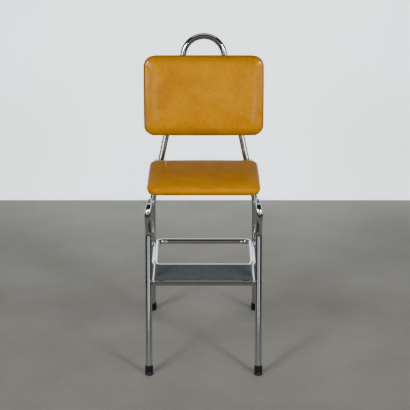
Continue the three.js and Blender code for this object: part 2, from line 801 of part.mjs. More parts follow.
const bowNotch = toSolid(sweep(bowPath, bowRadius + seatedGap));
add("step_tray", trayShell().subtract(bowNotch).subtract(bowRivetHoles).subtract(treadHoles), chrome);
const bowTubeSolid = toSolid(sweep(bowPath, bowRadius, bowRadius - tubeWall));
const bowHoles = [bowRivetHoles, bowPivotHoles, crossbarHoles];
add("step_bow", bowHoles.reduce((tube, holes) => tube.subtract(holes), bowTubeSolid), chrome);

const bowRivetGrip = trayHeight - (bowAxisHeight - bowRadius) + seatedGap;
for (const { name, x, y } of bowRivetPlaces) {
  const geometry = boltGeometry(bowRivetGrip, rivetShank, bowRivetHead, bowRivetDome);
  geometry.rotateX(-Math.PI / 2);
  geometry.translate(x, y, trayHeight - bowRivetGrip);
  add(`bow_rivet_${name}`, geometry, zinc);
}

// Mat: a ribbed rubber sheet on the tray, inside its rim.
function matSolid() {
  const base = slab(
    trayWidth / 2 - matInset, trayDepth / 2 - matInset, matCorner, matThickness - ribDepth);
  base.translate(0, trayMiddleY, trayHeight + seatedGap);
  let mat = toSolid(base);
  const length = trayWidth - 2 * matInset - 2 * matCorner;
  const count = Math.floor((trayDepth - 2 * matInset - ribPitch) / ribPitch) + 1;
  const rows = new Array(count).fill(0).map((_, row) => row - (count - 1) / 2);
  for (const row of rows) {
    const rib = new THREE.BoxGeometry(length, ribWidth, matThickness);
    rib.translate(0, trayMiddleY + row * ribPitch, trayHeight + seatedGap + matThickness / 2);
    mat = mat.add(toSolid(rib));
  }
  return mat;
}

add("step_mat", matSolid(), matRubber);

// Stand the chair with the middle of its footprint over the origin.
const footprint = new THREE.Box3().setFromObject(chair);
chair.position.y = -(footprint.min.y + footprint.max.y) / 2;
chair.updateMatrixWorld(true);

export default chair;
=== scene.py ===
import random
from math import asin, atan2, ceil, copysign, cos, hypot, pi, radians, sin, sqrt, tan

import bmesh
import bpy
import numpy as np
from mathutils import Matrix, Vector


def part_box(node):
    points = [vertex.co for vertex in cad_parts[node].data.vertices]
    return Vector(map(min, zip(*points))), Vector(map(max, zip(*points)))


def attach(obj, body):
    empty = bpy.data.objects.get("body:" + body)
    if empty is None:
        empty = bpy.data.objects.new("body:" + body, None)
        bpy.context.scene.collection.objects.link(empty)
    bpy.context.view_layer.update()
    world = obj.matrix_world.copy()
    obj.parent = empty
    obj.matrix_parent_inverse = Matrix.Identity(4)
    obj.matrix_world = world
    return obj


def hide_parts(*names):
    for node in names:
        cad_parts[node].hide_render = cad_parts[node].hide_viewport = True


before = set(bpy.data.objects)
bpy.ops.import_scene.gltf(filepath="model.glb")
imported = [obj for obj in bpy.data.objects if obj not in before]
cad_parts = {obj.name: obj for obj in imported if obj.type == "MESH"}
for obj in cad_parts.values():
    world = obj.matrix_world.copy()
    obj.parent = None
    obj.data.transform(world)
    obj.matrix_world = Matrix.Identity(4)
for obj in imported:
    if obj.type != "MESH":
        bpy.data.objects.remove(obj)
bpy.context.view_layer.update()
print("frame loaded:", len(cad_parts), "nodes")

mm = 0.001
frontLine = -0.267974  # y of the line where the front legs' axes meet the floor
sides = (("left", -1), ("right", 1))
scene = bpy.context.scene
dice = random.Random(7)


def at(x, y, z):
    return Vector((x * mm, y * mm + frontLine, z * mm))  # millimetres, y counted from the front line


# Node helpers for the materials
def startMaterial(name, **values):
    material = bpy.data.materials.new(name)
    material.use_nodes = True
    tree = material.node_tree
    shader = tree.nodes["Principled BSDF"]
    for socket, value in values.items():
        shader.inputs[socket.replace("_", " ")].default_value = value
    return material, tree, shader


def addNode(tree, kind, settings=None, **inputs):
    node = tree.nodes.new("ShaderNode" + kind)
    for key, value in (settings or {}).items():
        setattr(node, key, value)
    for socket, value in inputs.items():
        name = socket.replace("_", " ")
        if isinstance(value, bpy.types.NodeSocket):
            tree.links.new(value, node.inputs[name])
        else:
            node.inputs[name].default_value = value
    return node


def placeOn(tree, stretch=(1, 1, 1), turn=(0, 0, 0)):
    coords = addNode(tree, "TexCoord")
    mapping = addNode(tree, "Mapping", Vector=coords.outputs["Object"], Scale=stretch, Rotation=turn)
    return mapping.outputs["Vector"]


def noise(tree, place, scale, detail=3.0, roughness=0.5, distortion=0.0):
    node = addNode(tree, "TexNoise", Vector=place, Scale=scale, Detail=detail, Roughness=roughness,
                   Distortion=distortion)
    return node.outputs["Fac"]


def ramp(tree, fac, stops):
    node = addNode(tree, "ValToRGB", Fac=fac)
    elements = node.color_ramp.elements
    while len(elements) < len(stops):
        elements.new(0.5)
    for element, (position, color) in zip(elements, stops):
        element.position = position
        element.color = color if len(color) == 4 else (*color, 1)
    return node.outputs["Color"]


def grey(value):
    return (value, value, value, 1)


def spread(tree, fac, low, high, bottom, top):
    node = addNode(tree, "MapRange", Value=fac)
    for index, value in ((1, low), (2, high), (3, bottom), (4, top)):
        node.inputs[index].default_value = value
    return node.outputs["Result"]


def blendColors(tree, kind, fac, first, second):
    node = tree.nodes.new("ShaderNodeMix")
    node.data_type = "RGBA"
    node.blend_type = kind
    for index, value in ((0, fac), (6, first), (7, second)):
        if isinstance(value, bpy.types.NodeSocket):
            tree.links.new(value, node.inputs[index])
        else:
            node.inputs[index].default_value = value
    return node.outputs[2]


def times(tree, first, second, fac=1.0):
    return blendColors(tree, "MULTIPLY", fac, first, second)


def mask(tree, place, scale, detail, roughness, low, high, dark=0.0):
    # a noise sharpened to spots: dark under the low share, white over the high one
    fac = noise(tree, place, scale, detail, roughness)
    return ramp(tree, fac, [(low, grey(dark)), (high, grey(1))])


def bump(tree, height, strength, distance, under=None):
    node = addNode(tree, "Bump", Height=height, Strength=strength, Distance=distance)
    if under is not None:
        tree.links.new(under, node.inputs["Normal"])
    return node.outputs["Normal"]


def dented(tree, place, scale, detail, strength, distance):
    return bump(tree, noise(tree, place, scale, detail), strength, distance)


def feed(tree, shader, **outputs):
    for socket, output in outputs.items():
        tree.links.new(output, shader.inputs[socket.replace("_", " ")])


def edgeShade(tree, place, edges):
    # painted shade: each edge is (axis, where it is, where its shade ends, tone at the edge), in metres
    parts = addNode(tree, "SeparateXYZ", Vector=place).outputs
    shade = grey(1)
    for axis, edge, inner, tone in edges:
        steps = (edge, inner, tone, 1.0) if edge < inner else (inner, edge, 1.0, tone)
        shade = times(tree, shade, spread(tree, parts[axis], *steps))
    return shade


# Looks hold colours, roughness, the scale of each noise per metre, and depths in metres.

# Chrome: bright plate with soft ripples, fine rubbing marks, dull specks and a few pits
chromeLook = {"color": (0.52, 0.53, 0.545), "dull": (0.40, 0.39, 0.37), "low": 0.035, "high": 0.10,
              "clouds": 26, "specks": 900, "rubs": 1500, "rubStretch": (1, 1, 0.08), "ripples": 12,
              "rippleDepth": 0.00006, "pitDepth": 0.00004}


def makeChrome(look=chromeLook):
    material, tree, shader = startMaterial("chromePlate", Metallic=1.0)
    place = placeOn(tree)
    specks = mask(tree, place, look["specks"], 2.0, 0.7, 0.62, 0.72)
    cloud = noise(tree, place, look["clouds"], 4.0, 0.6)
    dullness = times(tree, specks, ramp(tree, cloud, [(0.45, grey(0)), (0.7, grey(1))]))
    color = blendColors(tree, "MIX", dullness, (*look["color"], 1), (*look["dull"], 1))
    rubbed = noise(tree, placeOn(tree, look["rubStretch"]), look["rubs"], 2.0)
    worn = blendColors(tree, "ADD", 0.5, cloud, rubbed)
    roughness = spread(tree, worn, 0.35, 1.1, look["low"], look["high"])
    ripple = dented(tree, place, look["ripples"], 1.0, 0.15, look["rippleDepth"])
    pits = bump(tree, specks, 0.05, look["pitDepth"], ripple)
    feed(tree, shader, Base_Color=color, Roughness=roughness, Normal=pits)
    return material


# Zinc-plated fixings: satin, with darker patches and small dents
zincLook = {"color": (0.66, 0.67, 0.68), "dark": (0.32, 0.31, 0.30), "low": 0.2, "high": 0.42, "clouds": 210,
            "dents": 700, "dentDepth": 0.00005}


def makeZinc(look=zincLook):
    material, tree, shader = startMaterial("zincPlate", Metallic=1.0)
    place = placeOn(tree)
    cloud = noise(tree, place, look["clouds"], 4.0, 0.65)
    color = ramp(tree, cloud, [(0.32, look["dark"]), (0.52, look["color"])])
    roughness = spread(tree, cloud, 0.3, 0.7, look["high"], look["low"])
    dents = dented(tree, place, look["dents"], 2.0, 0.25, look["dentDepth"])
    feed(tree, shader, Base_Color=color, Roughness=roughness, Normal=dents)
    return material


# Mustard vinyl: mottled colour, pressed grain, fine creases, painted shade at the rims, a thin polish over a
# matt skin.
# sideRim and endRim are the backrest's painted rim shade; underRim is painted shade below the seat's board;
# the last pair is painted shade along the seat's depth, darker towards its rear.
vinylLook = {"deep": (0.40, 0.155, 0.0), "main": (0.48, 0.195, 0.0), "light": (0.53, 0.225, 0.0),
             "creased": 0.16, "gloss": (0.3, 0.42), "sheen": 0.01, "seatPolish": 0.07, "backPolish": 0.5,
             "polishWidth": 0.17, "patches": 11, "blotches": 75, "cells": 820.0, "creases": 34,
             "creaseStretch": (1, 0.35, 0.35), "creaseTurn": (0.3, 0.2, 0.5), "grainDepth": 0.0001,
             "creaseDepth": 0.0003, "rimShade": 0.42, "sideRim": 0.016, "endRim": 0.03,
             "underRim": (0.013, 0.002), "rearShadeTone": 0.66, "satOn": (0.17, 0.02)}


def makeVinyl(name, polish, shadeEdges, look=vinylLook):
    material, tree, shader = startMaterial(name, IOR=1.42, Specular_IOR_Level=look["sheen"],
                                           Coat_Weight=polish, Coat_Roughness=look["polishWidth"])
    place = placeOn(tree)
    wide = noise(tree, place, look["patches"], 4.0, 0.6, 0.4)
    tones = ramp(tree, wide, [(0.3, look["deep"]), (0.5, look["main"]), (0.72, look["light"])])
    blotch = mask(tree, place, look["blotches"], 5.0, 0.65, 0.35, 0.62, 0.86)
    # painted shade towards the edges given
    shaded = times(tree, times(tree, tones, blotch, 0.8), edgeShade(tree, place, shadeEdges))
    cells = addNode(tree, "TexVoronoi", {"feature": "DISTANCE_TO_EDGE"}, Vector=place, Scale=look["cells"])
    grain = ramp(tree, cells.outputs["Distance"], [(0.0, grey(0)), (0.16, grey(1))])
    creasePlace = placeOn(tree, look["creaseStretch"], look["creaseTurn"])
    creases = ramp(tree, noise(tree, creasePlace, look["creases"], 3.0, 0.55, 1.4),
                   [(0.485, grey(1)), (0.5, grey(0)), (0.515, grey(1))])
    color = times(tree, times(tree, shaded, grain, 0.2), creases, look["creased"])
    roughness = spread(tree, wide, 0.3, 0.7, *look["gloss"])
    soft = bump(tree, creases, 0.22, look["creaseDepth"])
    pebble = bump(tree, grain, 0.35, look["grainDepth"], soft)
    feed(tree, shader, Base_Color=color, Roughness=roughness, Normal=pebble)
    return material


# Black rubber of the feet: matt, scuffed grey low down
rubberLook = {"color": (0.006, 0.006, 0.0065), "scuff": (0.04, 0.037, 0.034), "scuffHeight": 0.012,
              "sheen": 0.25, "rough": (0.42, 0.72), "patches": 320, "pores": 1400, "poreDepth": 0.00006}


def makeRubber(look=rubberLook):
    material, tree, shader = startMaterial("footRubber", IOR=1.45, Specular_IOR_Level=look["sheen"])
    place = placeOn(tree)
    height = addNode(tree, "SeparateXYZ", Vector=place).outputs["Z"]
    low = spread(tree, height, 0.0, look["scuffHeight"], 1.0, 0.0)
    patches = mask(tree, place, look["patches"], 5.0, 0.7, 0.42, 0.66)
    wear = times(tree, patches, low)
    color = blendColors(tree, "MIX", wear, (*look["color"], 1), (*look["scuff"], 1))
    roughness = spread(tree, patches, 0.0, 1.0, *look["rough"])
    skin = dented(tree, place, look["pores"], 3.0, 0.3, look["poreDepth"])
    feed(tree, shader, Base_Color=color, Roughness=roughness, Normal=skin)
    return material


# Slate rubber of the step's mat: mottled, with specks of dust in patches
matLook = {"color": (0.032, 0.041, 0.046), "dust": (0.095, 0.105, 0.105), "hollow": (0.018, 0.022, 0.025),
           "rough": (0.55, 0.8), "patches": 48, "specks": 1100, "mottle": 600, "pores": 2200,
           "poreDepth": 0.00008}


def makeMat(look=matLook):
    material, tree, shader = startMaterial("slateMat", IOR=1.45)
    place = placeOn(tree)
    dusty = mask(tree, place, look["patches"], 6.0, 0.7, 0.4, 0.75)
    specks = mask(tree, place, look["specks"], 3.0, 0.7, 0.5, 0.72)
    dust = times(tree, dusty, specks, 0.75)
    base = ramp(tree, noise(tree, place, look["mottle"], 3.0), [(0.3, look["hollow"]), (0.6, look["color"])])
    color = blendColors(tree, "MIX", dust, base, (*look["dust"], 1))
    roughness = spread(tree, specks, 0.0, 1.0, *look["rough"])
    skin = dented(tree, place, look["pores"], 3.0, 0.4, look["poreDepth"])
    feed(tree, shader, Base_Color=color, Roughness=roughness, Normal=skin)
    return material


# Stained plywood: long grain on the faces, glue lines through the edge
plyLook = {"dark": (0.12, 0.055, 0.022), "main": (0.27, 0.145, 0.062), "pale": (0.40, 0.245, 0.12),
           "rough": 0.6, "grain": 90, "layers": 105.0, "blotches": 18, "grainDepth": 0.0002}


def makePlywood(name, stretch, layerTurn, look=plyLook):
    material, tree, shader = startMaterial(name, Roughness=look["rough"], IOR=1.45)
    grain = noise(tree, placeOn(tree, stretch), look["grain"], 6.0, 0.62, 0.8)
    face = ramp(tree, grain, [(0.3, look["dark"]), (0.5, look["main"]), (0.75, look["pale"])])
    layers = addNode(tree, "TexWave", {"bands_direction": "Z"}, Vector=placeOn(tree, turn=layerTurn),
                     Scale=look["layers"], Distortion=0.6)
    glue = ramp(tree, layers.outputs["Fac"], [(0.08, grey(0.45)), (0.3, grey(1))])
    blotch = mask(tree, placeOn(tree), look["blotches"], 3.0, 0.5, 0.35, 0.65, 0.8)
    color = times(tree, times(tree, face, glue, 0.35), blotch, 0.7)
    fibres = bump(tree, grain, 0.3, look["grainDepth"])
    feed(tree, shader, Base_Color=color, Normal=fibres)
    return material


chrome = makeChrome()
zinc = makeZinc()
backLow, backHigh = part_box("backrest_cushion")
seatLow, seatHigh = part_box("seat_cushion")
rimShade, sideRim, endRim = vinylLook["rimShade"], vinylLook["sideRim"], vinylLook["endRim"]
underOuter, underInner = vinylLook["underRim"]
# painted shade darkening the seat towards its rear: full from the first distance behind its front edge, none
# in front of the second
rearShadeRear, rearShadeFront = vinylLook["satOn"]
# painted shade: the backrest's vinyl darkens towards its rolled rims, top and bottom, left and right
backShadeEdges = (("X", backLow.x, backLow.x + sideRim, rimShade), ("X", backHigh.x, backHigh.x - sideRim, rimShade),
            ("Z", backLow.z, backLow.z + endRim, rimShade), ("Z", backHigh.z, backHigh.z - endRim, rimShade))
# painted shade: the seat's vinyl darkens below its board, and towards its rear
seatShadeEdges = (("Z", seatLow.z - underOuter, seatLow.z - underInner, rimShade),
            ("Y", seatLow.y + rearShadeRear, seatLow.y + rearShadeFront, vinylLook["rearShadeTone"]))
backVinyl = makeVinyl("backVinyl", vinylLook["backPolish"], backShadeEdges)
seatVinyl = makeVinyl("seatVinyl", vinylLook["seatPolish"], seatShadeEdges)
rubber = makeRubber()
matRubber = makeMat()
seatPly = makePlywood("seatPlywood", (1, 0.06, 1), (0, 0, 0))
backPly = makePlywood("backPlywood", (0.06, 1, 1), (radians(82), 0, 0))
print("materials made")


# Mesh helpers
def settle(name, mesh, material, body, replaced=(), sharp=35):
    tool = bmesh.new()
    tool.from_mesh(mesh)
    bmesh.ops.remove_doubles(tool, verts=tool.verts, dist=1e-6)
    bmesh.ops.recalc_face_normals(tool, faces=tool.faces)
    tool.to_mesh(mesh)
    tool.free()
    mesh.polygons.foreach_set("use_smooth", [True] * len(mesh.polygons))
    mesh.set_sharp_from_angle(angle=radians(sharp))
    mesh.materials.clear()
    mesh.materials.append(material)
    piece = bpy.data.objects.new(name, mesh)
    scene.collection.objects.link(piece)
    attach(piece, body)
    if replaced:
        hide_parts(*replaced)
    return piece


def meshOf(verts, faces):
    mesh = bpy.data.meshes.new("draft")
    mesh.from_pydata([tuple(v) for v in verts], [], faces)
    return mesh


def joinMeshes(*parts):
    tool = bmesh.new()
    for part in parts:
        tool.from_mesh(part)
    mesh = bpy.data.meshes.new("draft")
    tool.to_mesh(mesh)
    tool.free()
    return mesh


def withModifiers(mesh, *steps):
    # each step is (kind, settings); the result is a new plain mesh
    helper = bpy.data.objects.new("helper", mesh)
    scene.collection.objects.link(helper)
    for kind, settings in steps:
        modifier = helper.modifiers.new(kind, kind)
        for key, value in settings.items():
            setattr(modifier, key, value)
    graph = bpy.context.evaluated_depsgraph_get()
    result = bpy.data.meshes.new_from_object(helper.evaluated_get(graph))
    bpy.data.objects.remove(helper)
    return result


def cutBy(mesh, *cutters):
    for cutter in cutters:
        blade = bpy.data.objects.new("blade", cutter)
        scene.collection.objects.link(blade)
        cut = {"operation": "DIFFERENCE", "object": blade, "solver": "EXACT"}
        mesh = withModifiers(mesh, ("BOOLEAN", cut))
        bpy.data.objects.remove(blade)
    return mesh


def cappedMesh(verts, count):
    # rings of count points each, closed by a flat face at both ends
    faces = []
    for low in range(0, len(verts) - count, count):
        for k in range(count):
            nextK, high = (k + 1) % count, low + count
            faces.append((low + k, low + nextK, high + nextK, high + k))
    faces += [tuple(reversed(range(count))), tuple(range(len(verts) - count, len(verts)))]
    return meshOf(verts, faces)


def cubesMesh(*matrices):
    tool = bmesh.new()
    for matrix in matrices:
        bmesh.ops.create_cube(tool, size=1, matrix=matrix)
    mesh = bpy.data.meshes.new("blade")
    tool.to_mesh(mesh)
    tool.free()
    return mesh


def bentRoute(corners, radii, step):
    # straight runs joined by round bends, as a list of (place, heading)
    headings = [(b - a).normalized() for a, b in zip(corners, corners[1:])]
    route = [(corners[0].copy(), headings[0])]
    for corner, radius, before, after in zip(corners[1:-1], radii, headings, headings[1:]):
        turn = before.angle(after)
        inward = (after - before * before.dot(after)).normalized()
        start = corner - before * (radius * tan(turn / 2))
        steps = max(3, ceil(turn / step))
        for k in range(steps + 1):
            angle = turn * k / steps
            place = start + before * (radius * sin(angle)) + inward * (radius * (1 - cos(angle)))
            route.append((place, before * cos(angle) + inward * sin(angle)))
    route.append((corners[-1].copy(), headings[-1]))
    return route


def tubeMesh(route, radius, count, bore=0.0, boreDepth=0.0):
    # a round tube along a route; with a bore its ends show a wall and a short dark hollow
    axis = route[0][1].orthogonal().normalized()
    frames = []
    for place, heading in route:
        axis = (axis - heading * axis.dot(heading)).normalized()
        frames.append((place, heading, axis.copy(), heading.cross(axis)))
    rows = [(*knot, radius) for knot in frames]
    if bore:
        first, last = frames[0], frames[-1]
        rows = [(first[0] + first[1] * boreDepth, *first[1:], bore), (first[0], *first[1:], bore), *rows,
                (last[0], *last[1:], bore), (last[0] - last[1] * boreDepth, *last[1:], bore)]
    verts = []
    for place, heading, side, up, size in rows:
        for k in range(count):
            angle = 2 * pi * k / count
            verts.append(place + (side * cos(angle) + up * sin(angle)) * size)
    return cappedMesh(verts, count)


def latheMesh(profile, matrix, count=40):
    # turned about Z; a profile point on the axis closes the form
    verts, faces, rings = [], [], []
    for radius, height in profile:
        if radius < 1e-7:
            rings.append([len(verts)])
            verts.append((0, 0, height))
            continue
        rings.append(list(range(len(verts), len(verts) + count)))
        for k in range(count):
            angle = 2 * pi * k / count
            verts.append((radius * cos(angle), radius * sin(angle), height))
    for low, high in zip(rings, rings[1:]):
        for k in range(count):
            nextK = (k + 1) % count
            corners = [low[k % len(low)], low[nextK % len(low)], high[nextK % len(high)], high[k % len(high)]]
            face = tuple(dict.fromkeys(corners))
            if len(face) > 2:
                faces.append(face)
    mesh = meshOf(verts, faces)
    mesh.transform(matrix)
    return mesh


def aim(place, direction):
    turn = Vector((0, 0, 1)).rotation_difference(direction).to_matrix().to_4x4()
    return Matrix.Translation(place) @ turn


# Side view of the frame, in millimetres and degrees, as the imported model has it
rearSizes = {"stance": 530, "track": 376, "lean": 9, "kneeHeight": 450, "kneeTrack": 361, "kneeRadius": 88,
             "uprightLean": 8, "handleHeight": 1020, "handleRadius": 71, "tube": 22}
frontSizes = {"track": 361, "lean": 14, "straight": 457.6, "forwardTurn": 47, "forwardRadius": 38,
              "rise": 43.7, "backTurn": 135, "backRadius": 32, "tail": 20, "margin": 13, "tube": 22,
              "pressed": 13, "spread": 3, "pressStart": 0.2, "squareness": 1.8, "bendStep": 2.5,
              "tipStart": 0.7, "tipPower": 2.4, "tipLeft": 0.03}
eyeStations = (0.3, 0.6, 0.75, 0.86, 0.93, 0.97, 0.995, 1)
tubeSides = 44
tubeEnd = 9  # a tube ends this far above the floor, inside its foot
tilt = radians(rearSizes["uprightLean"])
kneeY = rearSizes["stance"] - rearSizes["kneeHeight"] * tan(radians(rearSizes["lean"]))


def sideHeading(lean):
    return Vector((0, sin(radians(lean)), cos(radians(lean))))


# Rear frame: one tube from foot to foot, with a knee in each side and the carrying loop on top
def rearRoute(sizes=rearSizes):
    leg, upright = sideHeading(sizes["uprightLean"]), sizes["handleHeight"] - sizes["kneeHeight"]
    run = upright / cos(tilt) - sizes["handleRadius"]
    half = sizes["kneeTrack"] / 2
    inward = atan2(half, run) - asin(sizes["handleRadius"] / hypot(half, run))
    knees = {s: at(s * half, kneeY, sizes["kneeHeight"]) for _, s in sides}
    apex = at(0, kneeY, sizes["kneeHeight"]) + leg * (half / tan(inward) * mm)
    feet = {s: at(s * sizes["track"] / 2, sizes["stance"], 0) for _, s in sides}
    ends = {s: feet[s] + (knees[s] - feet[s]).normalized() * tubeEnd * mm for _, s in sides}
    corners = [ends[-1], knees[-1], apex, knees[1], ends[1]]
    radii = [sizes["kneeRadius"] * mm, sizes["handleRadius"] * mm, sizes["kneeRadius"] * mm]
    return bentRoute(corners, radii, radians(3)), feet


rearPath, rearFeet = rearRoute()
settle("rearFrame", tubeMesh(rearPath, rearSizes["tube"] / 2 * mm, tubeSides), chrome, "rear_frame",
       ["rear_frame_tube"])


# Front legs: straight, then a swan neck whose end is pressed to a flat eye
def neckPlaces(sizes=frontSizes):
    up, back = sizes["lean"], sizes["lean"] - sizes["forwardTurn"]
    chinReach = sizes["forwardRadius"] * tan(radians(sizes["forwardTurn"] / 2))
    noseReach = sizes["backRadius"] * tan(radians(sizes["backTurn"] / 2))
    foot = sideHeading(up) * tubeEnd
    chin = sideHeading(up) * (sizes["straight"] + chinReach)
    nose = chin + sideHeading(back) * (chinReach + sizes["rise"] + noseReach)
    tail = sideHeading(back + sizes["backTurn"])
    eye = nose + tail * (noseReach + sizes["tail"])
    return [foot, chin, nose, eye + tail * sizes["margin"]]


def frontLegMesh(side, sizes=frontSizes):
    corners = [at(side * sizes["track"] / 2, p.y, p.z) for p in neckPlaces()]
    radii = [sizes["forwardRadius"] * mm, sizes["backRadius"] * mm]
    route = bentRoute(corners, radii, radians(sizes["bendStep"]))
    bendEnd = len(route) - 2
    bendStart = bendEnd - ceil(sizes["backTurn"] / sizes["bendStep"])
    last, direction = route.pop()
    start = route[-1][0]
    reach = (last - start).length
    route += [(start + direction * reach * share, direction) for share in eyeStations]
    radius, inner = sizes["tube"] / 2 * mm, side * (sizes["track"] / 2 - sizes["tube"] / 2) * mm
    middle = inner + side * sizes["pressed"] / 2 * mm
    verts = []
    for index, (place, heading) in enumerate(route):
        share = (index - bendStart) / (bendEnd - bendStart)
        share = min(1, max(0, (share - sizes["pressStart"]) / (1 - sizes["pressStart"])))
        share = share * share * (3 - 2 * share)
        power = 2 / (2 + sizes["squareness"] * share)
        thin = 1 + (sizes["pressed"] / sizes["tube"] - 1) * share
        up = heading.cross(Vector((1, 0, 0)))
        passed = (place - start).length / reach if index > bendEnd else 0
        tip = max(0, (passed - sizes["tipStart"]) / (1 - sizes["tipStart"]))
        close = sqrt(max(0, 1 - tip ** sizes["tipPower"])) * (1 - sizes["tipLeft"]) + sizes["tipLeft"]
        for k in range(tubeSides):
            c, s = cos(2 * pi * k / tubeSides), sin(2 * pi * k / tubeSides)
            across = copysign(abs(c) ** power, c) * radius
            along = copysign(abs(s) ** power, s) * (radius + sizes["spread"] * mm * share) * close
            x = inner + (place.x + across - inner) * thin
            if tip:
                x = middle + (x - middle) * close
            verts.append(Vector((x, place.y, place.z)) + up * along)
    return cappedMesh(verts, tubeSides)


for sideName, side in sides:
    settle(f"frontLeg_{sideName}", frontLegMesh(side), chrome, "front_legs",
           [f"front_leg_{sideName}"])
print("tube frames made")

# Rubber feet: a cup with a lip round its mouth and a worn tread, cut level with the floor
footSizes = {"radius": 13.4, "length": 30, "sole": tubeEnd, "bore": 11.15, "lip": 0.7, "sides": 56}


def footMesh(origin, heading, sizes=footSizes):
    r, length, sole, bore = sizes["radius"], sizes["length"], sizes["sole"], sizes["bore"]
    lip = sizes["lip"]
    profile = [(0, -sole), (r + 0.3, -sole), (r + 0.3, 5), (r - 0.1, 6.2), (r - 0.35, 7), (r - 0.35, 8),
               (r - 0.1, 8.8), (r - 0.2, length - 5), (r + lip * 0.2, length - 4.2),
               (r + lip * 0.35, length - 3), (r + lip * 0.2, length - 1.2), (r - 0.6, length - 0.2),
               (bore + 0.6, length), (bore + 0.05, length - 0.5), (bore + 0.05, sole), (0, sole)]
    mesh = latheMesh([(a * mm, b * mm) for a, b in profile], aim(origin, heading), sizes["sides"])
    tool = bmesh.new()
    tool.from_mesh(mesh)
    cut = bmesh.ops.bisect_plane(tool, geom=list(tool.verts) + list(tool.edges) + list(tool.faces),
                                 plane_co=(0, 0, 0), plane_no=(0, 0, -1), clear_outer=True)
    edges = [e for e in cut["geom_cut"] if isinstance(e, bmesh.types.BMEdge)]
    bmesh.ops.contextual_create(tool, geom=edges)
    tool.to_mesh(mesh)
    tool.free()
    return mesh


for sideName, side in sides:
    toKnee = (rearPath[1 if side < 0 else -2][0] - rearFeet[side]).normalized()
    settle(f"rearFoot_{sideName}", footMesh(rearFeet[side], toKnee), rubber, "rear_frame",
           [f"rear_foot_{sideName}"], 50)
    frontFoot = footMesh(at(side * frontSizes["track"] / 2, 0, 0), sideHeading(frontSizes["lean"]))
    settle(f"frontFoot_{sideName}", frontFoot, rubber, "front_legs", [f"front_foot_{sideName}"], 50)

# Rivets, bolts and screws, each from the box of its node; a dome's shares are (of radius, of height)
domeShares = [(1.0, 0.0), (1.0, 0.16), (0.965, 0.36), (0.87, 0.6), (0.7, 0.8), (0.45, 0.94), (0.2, 0.99),
              (0, 1.0)]


def headProfile(base, radius, dome, sign):
    return [(radius * r, base + sign * dome * h) for r, h in domeShares]


def rivetMesh(length, radius, dome, shank, matrix):
    low, high = -length / 2 + dome, length / 2 - dome
    profile = headProfile(low, radius, dome, -1)[::-1] + [(shank, low), (shank, high)]
    return latheMesh(profile + headProfile(high, radius, dome, 1), matrix)


def boltMesh(grip, radius, dome, shank, matrix, slot=0.0):
    mesh = latheMesh([(0, -grip), (shank, -grip), (shank, 0)] + headProfile(0, radius, dome, 1), matrix)
    if not slot:
        return mesh
    angle = Matrix.Rotation(dice.uniform(0, pi), 4, "Z")
    size = Matrix.Diagonal((3 * radius, slot, dome, 1))
    return cutBy(mesh, cubesMesh(matrix @ angle @ Matrix.Translation((0, 0, dome * 0.95)) @ size))


def pieceName(node, words):
    # the first words of a node's name run together: bow_rivet_front_left becomes bowRivet_front_left
    head, tail = node.split("_")[:words], node.split("_")[words:]
    return "_".join([head[0] + "".join(word.capitalize() for word in head[1:]), *tail])


def fasten(node, words, body, mesh, sharp=60):
    settle(pieceName(node, words), mesh, zinc, body, [node], sharp)


def boxRivet(node, words, body, axis, dome):
    low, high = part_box(node)
    direction = Vector([1 if k == axis else 0 for k in range(3)])
    radius, matrix = (high - low)[(axis + 1) % 3] / 2, aim((low + high) / 2, direction)
    fasten(node, words, body, rivetMesh((high - low)[axis], radius, dome, fixings["rivetShank"], matrix))


def hungFrom(low, high, dome):
    # where a head that points down starts, so that its dome ends at the box's bottom
    place = Vector(((low.x + high.x) / 2, (low.y + high.y) / 2, low.z + dome))
    return place, aim(place, Vector((0, 0, -1)))


